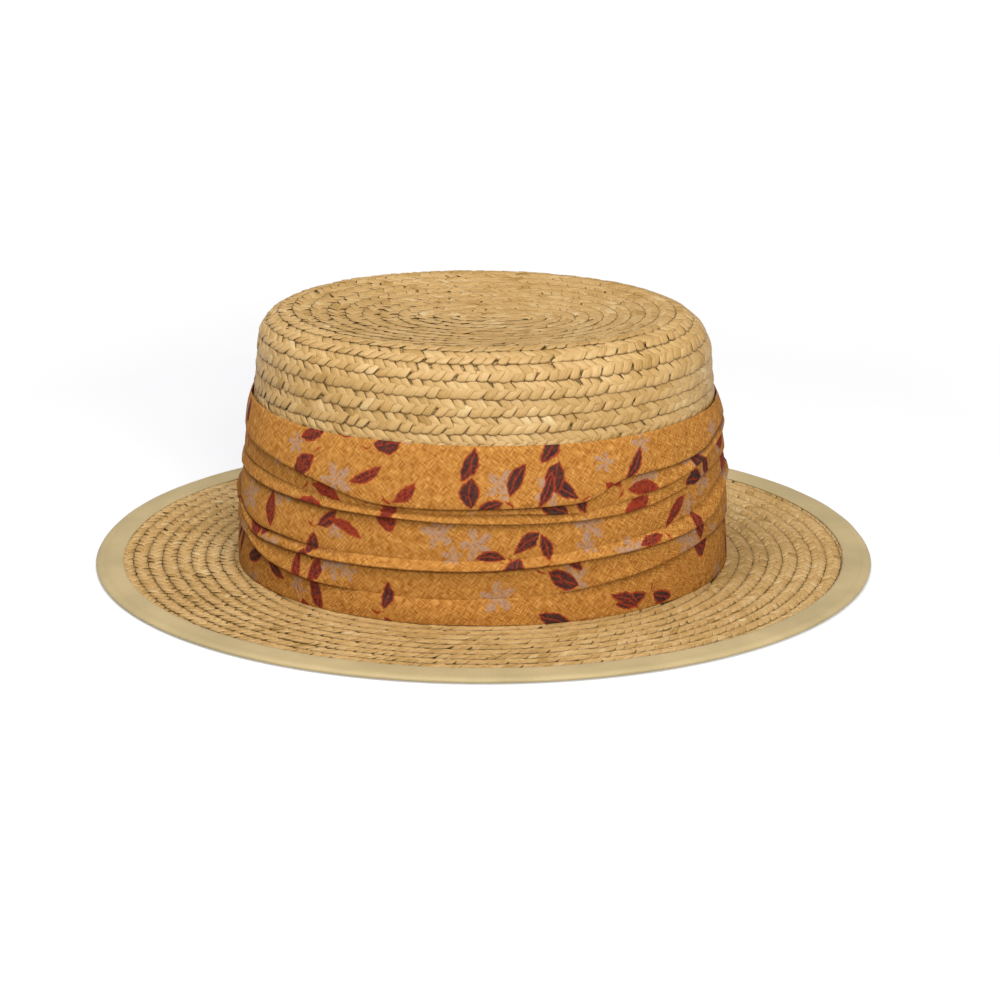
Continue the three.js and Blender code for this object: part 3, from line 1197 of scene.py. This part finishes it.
# The band's folds from the upper edge down, placed after the photograph
FOLDS: tuple[Fold, ...] = (
    # The uppermost, steep at the right
    Fold(
        (-250, -200, -180, -163, -152, -140, -131, -119, -110, -84, -67, -62, -59, -54, -34, -25, -17, 0, 40),
        (55, 57, 57.5, 55.7, 54.5, 52, 50, 45, 44.2, 45.2, 45.6, 47.4, 51.5, 53.4, 54, 55.7, 59.5, 61, 58),
        (0.5, 0.4, 0.4, 0.7, 1, 1, 1, 0.8, 0.75, 0.8, 0.85, 0.7, 0.6, 0.6, 0.7, 0.8, 0.7, 0.6, 0.6),
    ),
    # The one that forks from it
    Fold(
        (-250, -160, -119, -100, -84, -80, -73, -66, -60, -48, -40, -32.5, -24, -15, 0, 40),
        (47, 46.5, 42.5, 42.2, 42.6, 42.8, 41.6, 41.2, 42.2, 45, 47, 49.5, 53, 57, 58, 52),
        (0.3, 0.3, 0, 0, 0.3, 0.5, 0.4, 0, 0, 0.3, 0.8, 1, 1, 1, 0.6, 0.5),
    ),
    # The shallow one at half height
    Fold(
        (-250, -170, -150, -130, -110, -97, -80, -65, -52, -40, -30, -15, 0, 40),
        (41, 41, 40.5, 40, 39.6, 39, 38.7, 38.3, 39, 41.6, 43.5, 46, 46.5, 43),
        (0.4, 0.55, 0.7, 0.7, 0.6, 0.5, 0.45, 0.4, 0.35, 0.25, 0.2, 0.4, 0.5, 0.5),
    ),
    # The short one at the left
    Fold(
        (-250, -175, -163, -155, -142, -132, -120, -90, -52, -30, -15, 0, 40),
        (31, 31, 27, 24.2, 24.2, 23.2, 23.4, 24, 28, 31, 38.5, 41, 33),
        (0, 0.4, 0.9, 0.9, 0.8, 0.4, 0, 0, 0, 0, 0.3, 0.4, 0),
    ),
    # The deepest, right round the front
    Fold(
        (-250, -180, -168, -163, -159, -151, -127, -102, -90, -77, -65, -52, -42, -34, -22, -18, -12, 0, 40),
        (27, 30, 27.7, 23.4, 20.6, 19.2, 19.6, 20.3, 20.7, 22.1, 23, 24, 24.6, 25.2, 27.7, 31.5, 36, 38, 30),
        (0.7, 0.8, 1, 1, 1, 0.95, 0.9, 0.9, 0.9, 0.9, 1, 1, 1, 1, 1, 1, 0.9, 0.7, 0.7),
    ),
    # The lowest, gone at the middle
    Fold(
        (-250, -180, -159, -152, -147, -137, -130, -118, -100, -75, -66, -55, -40, -25, 0, 40),
        (14, 19, 16.6, 13.6, 11.6, 10.1, 9.5, 9, 8.5, 10, 11.5, 13.5, 16.5, 19, 21, 17),
        (0.4, 0.4, 0.9, 1, 0.9, 0.8, 0.6, 0, 0, 0, 0.25, 0.5, 0.5, 0.4, 0.4, 0.4),
    ),
)


@dataclass
class Band:
    """The band: one length of printed cloth wound round the crown in lapping folds, its end turned
    in over its start at the far side."""

    form: HatForm
    columns: int = 420
    steps: int = 13
    start: float = -264.0
    end: float = 104.0
    off: float = 1.0 * MM
    swell: float = 3.5 * MM
    tuck: float = 3.4 * MM
    edge_roll: float = 0.75 * MM
    belly: float = 0.55 * MM
    wander: float = 0.5 * MM
    ripple: float = 0.32 * MM
    crinkle: float = 0.12 * MM
    foot: float = 0.1 * MM
    end_lift: float = 1.3 * MM
    end_turn: float = 1.1 * MM
    cut_level: float = 30.0 * MM
    folds: tuple[Fold, ...] = FOLDS

    def _sections(self) -> tuple[np.ndarray, np.ndarray, np.ndarray, np.ndarray]:
        """Work out the cloth's section on each bearing, from its upper edge down.

        Returns:
            Bearings in degrees, levels, outward distances and painted light shares, each columns by steps.
        """
        form = self.form
        degrees = np.linspace(self.start, self.end, self.columns + 1)
        wobble = waves(3, np.radians(degrees) * 2.0, np.zeros_like(degrees))
        top = form.band_top + self.wander * wobble
        bottom = np.full_like(degrees, form.straw_top - self.foot)
        levels, outs, painted_lights = [], [], []

        def add(level: np.ndarray, out: np.ndarray | float, depth: np.ndarray | float) -> None:
            """Append one point of the section."""
            levels.append(level)
            outs.append(np.broadcast_to(out, level.shape))
            painted_lights.append(np.broadcast_to(depth, level.shape))

        # The upper edge is turned in: how far down, how far in and how light each point is painted, darker as
        # painted shade where it turns in
        for down, inward, light in ((5.0, 0.7, 0.3), (1.0, 0.65, 0.5), (0.15, 0.35, 0.9)):
            add(top - down * MM, self.off - inward * MM, light)
        upper, upper_strength = top, np.zeros_like(top)
        edges = [fold.at(degrees) for fold in self.folds] + [(bottom - form.brim_top, np.zeros_like(top))]
        for height, strength in edges:
            lower = np.minimum(form.brim_top + height, upper - 1.2 * MM)
            crumple = waves(len(levels), np.radians(degrees) * 3.0, np.zeros_like(degrees))
            begin = upper + self.tuck * upper_strength
            rise = self.swell * strength
            roll = 0.08 * MM + self.edge_roll * strength
            for k in range(self.steps):
                q = k / (self.steps - 1)
                level = begin + (lower + roll - begin) * q
                belly = self.belly * math.sin(math.pi * q) * (1.0 + 0.5 * crumple)
                out = self.off + rise * q**1.4 + belly
                # Painted shade: the cloth tucked under the fold above and a narrow line just below that fold
                # are darker
                tucked_shade = np.clip((level - upper) / (0.8 * MM), 0.0, 1.0) * (upper_strength > 0.02)
                near = smooth(1.9, 0.3, (upper - level) / MM) * (upper_strength > 0.02)
                painted_shade = 0.9 * tucked_shade + 0.74 * near + 0.14 * smooth(0.45, 0.1, np.array(q))
                add(level, out, 1.0 - np.minimum(painted_shade, 0.95) * np.sqrt(upper_strength))
            # Painted shade on the underside of each fold's rolled edge
            for turn in (0.3, 0.6, 0.85, 1.0):
                swing = turn * math.pi
                level = lower + roll * (1.0 - math.sin(swing))
                out = self.off + rise - roll * (1.0 - math.cos(swing))
                add(level, out, 1.0 - 0.85 * smooth(0.2, 0.9, np.array(turn)) * strength)
            upper, upper_strength = lower, strength
        # Painted shade where the cloth's foot turns in under
        add(bottom, self.off - 0.4 * MM, 0.6)
        add(bottom + 3.0 * MM, self.off - 0.7 * MM, 0.3)
        return degrees, np.stack(levels, 1), np.stack(outs, 1), np.stack(painted_lights, 1)

    def build(self, cloth: bpy.types.Material) -> bpy.types.Object:
        """Args:
            cloth: the printed cloth's finish.

        Returns:
            The piece.
        """
        form = self.form
        degrees, levels, outs, painted_lights = self._sections()
        columns, points_each = levels.shape
        angle = np.radians(degrees)[:, None]
        share = (levels - form.brim_top) / (form.band_top - form.brim_top)
        outs = outs + self.ripple * waves(5, angle * 6.0, share * 4.0 + angle * 2.0, 8)
        outs = outs + self.crinkle * waves(6, angle * 19.0, share * 14.0 + angle * 9.0, 8)
        # The end laps over the start, on the far side, and its edge is turned in
        over = smooth(self.start + 360.0 - 3.0, self.start + 360.0 + 1.0, degrees)[:, None]
        outs = outs + self.end_lift * over
        turned = smooth(self.end - 1.0, self.end, degrees)[:, None]
        outs = outs - self.end_turn * turned**2
        points = form.side(np.broadcast_to(angle, levels.shape), levels, outs)
        down = np.linalg.norm(np.diff(points, axis=1), axis=2)
        fall = np.concatenate([np.zeros((columns, 1)), np.cumsum(down, axis=1)], axis=1)
        middle = form.side(angle[:, 0], np.full(columns, form.brim_top + self.cut_level), np.zeros(columns))
        walk = np.concatenate([[0.0], np.cumsum(np.linalg.norm(np.diff(middle, axis=0), axis=1))])

        def place(u: np.ndarray, v: np.ndarray) -> Laid:
            """Lay the grid on the sections: u round the crown, v up the cloth."""
            i = np.round(u * (columns - 1)).astype(int)
            j = np.round((1.0 - v) * (points_each - 1)).astype(int)
            values = {"depth": painted_lights[i, j]}
            return points[i, j], np.stack([walk[i], -fall[i, j]], axis=1), values

        piece = wrapped_grid("band_cloth", columns - 1, points_each - 1, place, False)
        finish_mesh(piece, cloth)
        return piece


@dataclass
class Binding:
    """The ribbon folded over the brim's edge."""

    form: HatForm
    columns: int = 300
    above: float = 0.62 * MM
    ease: float = 0.35 * MM
    puff: float = 0.08 * MM
    uv_length: float = 0.96

    def _section(self) -> tuple[np.ndarray, np.ndarray, np.ndarray]:
        """The ribbon's section, once round: reach, level and painted light at each point, lower where shade
        is painted.
        """
        form = self.form
        rim, tail = form.rim, form.rim - form.ribbon_reach
        top = form.straw_top + self.above
        # Over the top to the rim, back underneath, then along the ribbon's inner face
        reach = np.concatenate([
            tail + MM * np.array([0.0, 0.3, 1.2, 5.0]),
            rim - MM * np.array([4.2, 3.7, 3.2, 2.2, 1.2, 0.35, 0.0, 0.25, 1.0, 3.0]),
            tail + MM * np.array([0.6, 0.0, 0.0]),
            rim - MM * np.array([2.6, 1.6, 2.6]),
            tail + MM * np.array([0.2])])
        level = np.concatenate([
            top - MM * np.array([0.6, 0.06, 0.0, 0.02, 0.06, 0.14, 0.14, 0.2, 0.42, 0.85, 1.3]),
            MM * np.array([0.75, 0.35, 0.0, 0.0, 0.2, 0.5, 0.55, 1.1]),
            top - MM * np.array([0.75, 0.8])])
        # Painted shade: the ribbon is darker at its inner edge, in a slight dip near the rim, underneath and
        # on its inner faces
        depth = [0.5, 0.9, 1.0, 1.0, 0.97, 0.86, 0.96] + [1.0] * 4 + [0.9] * 4 + [0.5] * 6
        return reach, level, np.array(depth)

    def build(self, ribbon: bpy.types.Material) -> bpy.types.Object:
        """Args:
            ribbon: the ribbon's finish.

        Returns:
            The piece.
        """
        form = self.form
        reach, level, depth = self._section()
        count = len(reach)
        steps = np.hypot(np.diff(np.append(reach, reach[0])), np.diff(np.append(level, level[0])))
        around = np.concatenate([[0.0], np.cumsum(steps)])

        def place(u: np.ndarray, v: np.ndarray) -> Laid:
            """Lay the grid: u along the ribbon, v round its section."""
            k = np.round(v * count).astype(int)
            angle = TURN * u
            near = np.clip((form.rim - reach[k % count]) / form.ribbon_reach, 0.0, 1.0)
            upper = level[k % count] > 0.6 * form.straw_top
            ease = self.ease * waves(8, angle * 3.0, np.zeros_like(angle)) * near
            puff = np.where(upper, self.puff * waves(9, angle * 14.0, near * 3.0), 0.0)
            points = form.brim(angle, reach[k % count] + ease, level[k % count] + puff)
            return points, np.stack([u * self.uv_length, around[k]], axis=1), {"depth": depth[k % count]}

        piece = wrapped_grid("edge_ribbon", self.columns, count, place, True)
        finish_mesh(piece, ribbon)
        return piece


@dataclass(frozen=True)
class Lamp:
    """A square lamp that points at the hat: its place and side in metres, its power in watts."""

    name: str
    place: tuple[float, float, float]
    size: float
    power: float
    colour: tuple[float, float, float]


@dataclass
class Studio:
    """A pale floor, soft light and the camera at the photograph's angle."""

    form: HatForm
    elevation: float = 19.3
    distance: float = 1.7
    zoom: float = 2.434
    sensor: float = 36.0
    centre: tuple[float, float] = (0.4829, 0.55)
    floor_size: float = 14.0
    aim: tuple[float, float, float] = (0.0, 0.0, 0.05)
    sky: tuple[float, float, float, float] = (1.0, 0.97, 0.9, 1.0)
    sky_strength: float = 0.23
    lamps: tuple[Lamp, ...] = (
        Lamp("front", (0.59, -2.65, 1.27), 1.3, 71.5, (1.0, 0.985, 0.93)),
        Lamp("top left", (-0.89, -0.51, 2.82), 1.2, 48.6, (1.0, 1.0, 1.06)),
        Lamp("top right", (0.32, -0.98, 2.82), 1.2, 51.6, (1.0, 1.0, 1.06)),
    )

    def build_floor(self) -> None:
        """Lay the floor under the hat."""
        bpy.ops.object.select_all(action="DESELECT")
        bpy.ops.mesh.primitive_plane_add(size=self.floor_size)
        floor = bpy.context.object
        floor.name = "floor"
        floor.data.materials.append(FloorFinish().material())

    def build_lights(self) -> None:
        """Light the hat from low in front and from two sides above, with a weak even fill."""
        for lamp in self.lamps:
            data = bpy.data.lights.new(lamp.name, "AREA")
            data.size = lamp.size
            data.energy = lamp.power
            data.color = lamp.colour
            light = add_object(lamp.name, data)
            light.location = lamp.place
            light.rotation_euler = self._aimed(np.array(self.aim) - np.array(lamp.place))
        world = bpy.data.worlds.new("studio")
        world.use_nodes = True
        sky = world.node_tree.nodes["Background"]
        sky.inputs[0].default_value = self.sky
        sky.inputs[1].default_value = self.sky_strength
        bpy.context.scene.world = world
        bpy.context.scene.view_settings.view_transform = "Standard"

    def _aimed(self, aim: np.ndarray) -> tuple[float, float, float]:
        """Euler angles that turn an object's -Z along aim, level with the horizon."""
        flat = math.hypot(aim[0], aim[1])
        return (math.atan2(flat, -aim[2]), 0.0, math.atan2(-aim[0], aim[1]))

    def build_camera(self) -> None:
        """Set the camera at the photograph's angle and distance."""
        tilt = math.radians(self.elevation)
        lens = bpy.data.cameras.new("camera")
        lens.sensor_width = self.sensor
        lens.lens = self.zoom * self.distance * self.sensor
        lens.shift_x = 0.5 - self.centre[0]
        lens.shift_y = self.centre[1] - 0.5
        lens.clip_end = 50.0
        camera = add_object("camera", lens)
        level = self.form.brim_top + self.distance * math.sin(tilt)
        camera.location = (0.0, -self.distance * math.cos(tilt), level)
        camera.rotation_euler = (math.pi / 2.0 - tilt, 0.0, 0.0)
        bpy.context.scene.camera = camera


# Position on the ramp and colour of each stop, from a straw's darkest to its lightest
CROWN_STRAW: Stops = (
    (0.05, "6c4e22"), (0.28, "8e6d35"), (0.5, "a88651"), (0.72, "b49562"), (0.95, "c6b288"),
)
# A darker copy of the straw: painted shade for the walls and for the straws inside the crown and under the
# brim
SHADED_STRAW: Stops = ((0.05, "5e4521"), (0.3, "826532"), (0.55, "a08350"), (0.9, "b79d6e"))


def main() -> None:
    """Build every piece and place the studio."""
    logging.basicConfig(level=logging.INFO, format="%(name)s: %(message)s")
    form = HatForm()
    straw = StrawFinish("plaited wheat straw", CROWN_STRAW).material()
    shaded = StrawFinish("straw darkened as painted shade", SHADED_STRAW).material()
    parts = {
        "crown": Crown(form).build(straw, shaded),
        "brim": Brim(form).build(straw, shaded),
        "hat_band": [Band(form).build(ClothFinish().material())],
        "brim_binding": [Binding(form).build(RibbonFinish().material())],
    }
    for node, pieces in parts.items():
        for piece in pieces:
            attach(piece, BODY)
            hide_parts(node)
            triangles = sum(len(face.vertices) - 2 for face in piece.data.polygons)
            log.info("%s for %s: %d triangles", piece.name, node, triangles)
    studio = Studio(form)
    studio.build_floor()
    studio.build_lights()
    studio.build_camera()


if __name__ == "__main__":
    main()
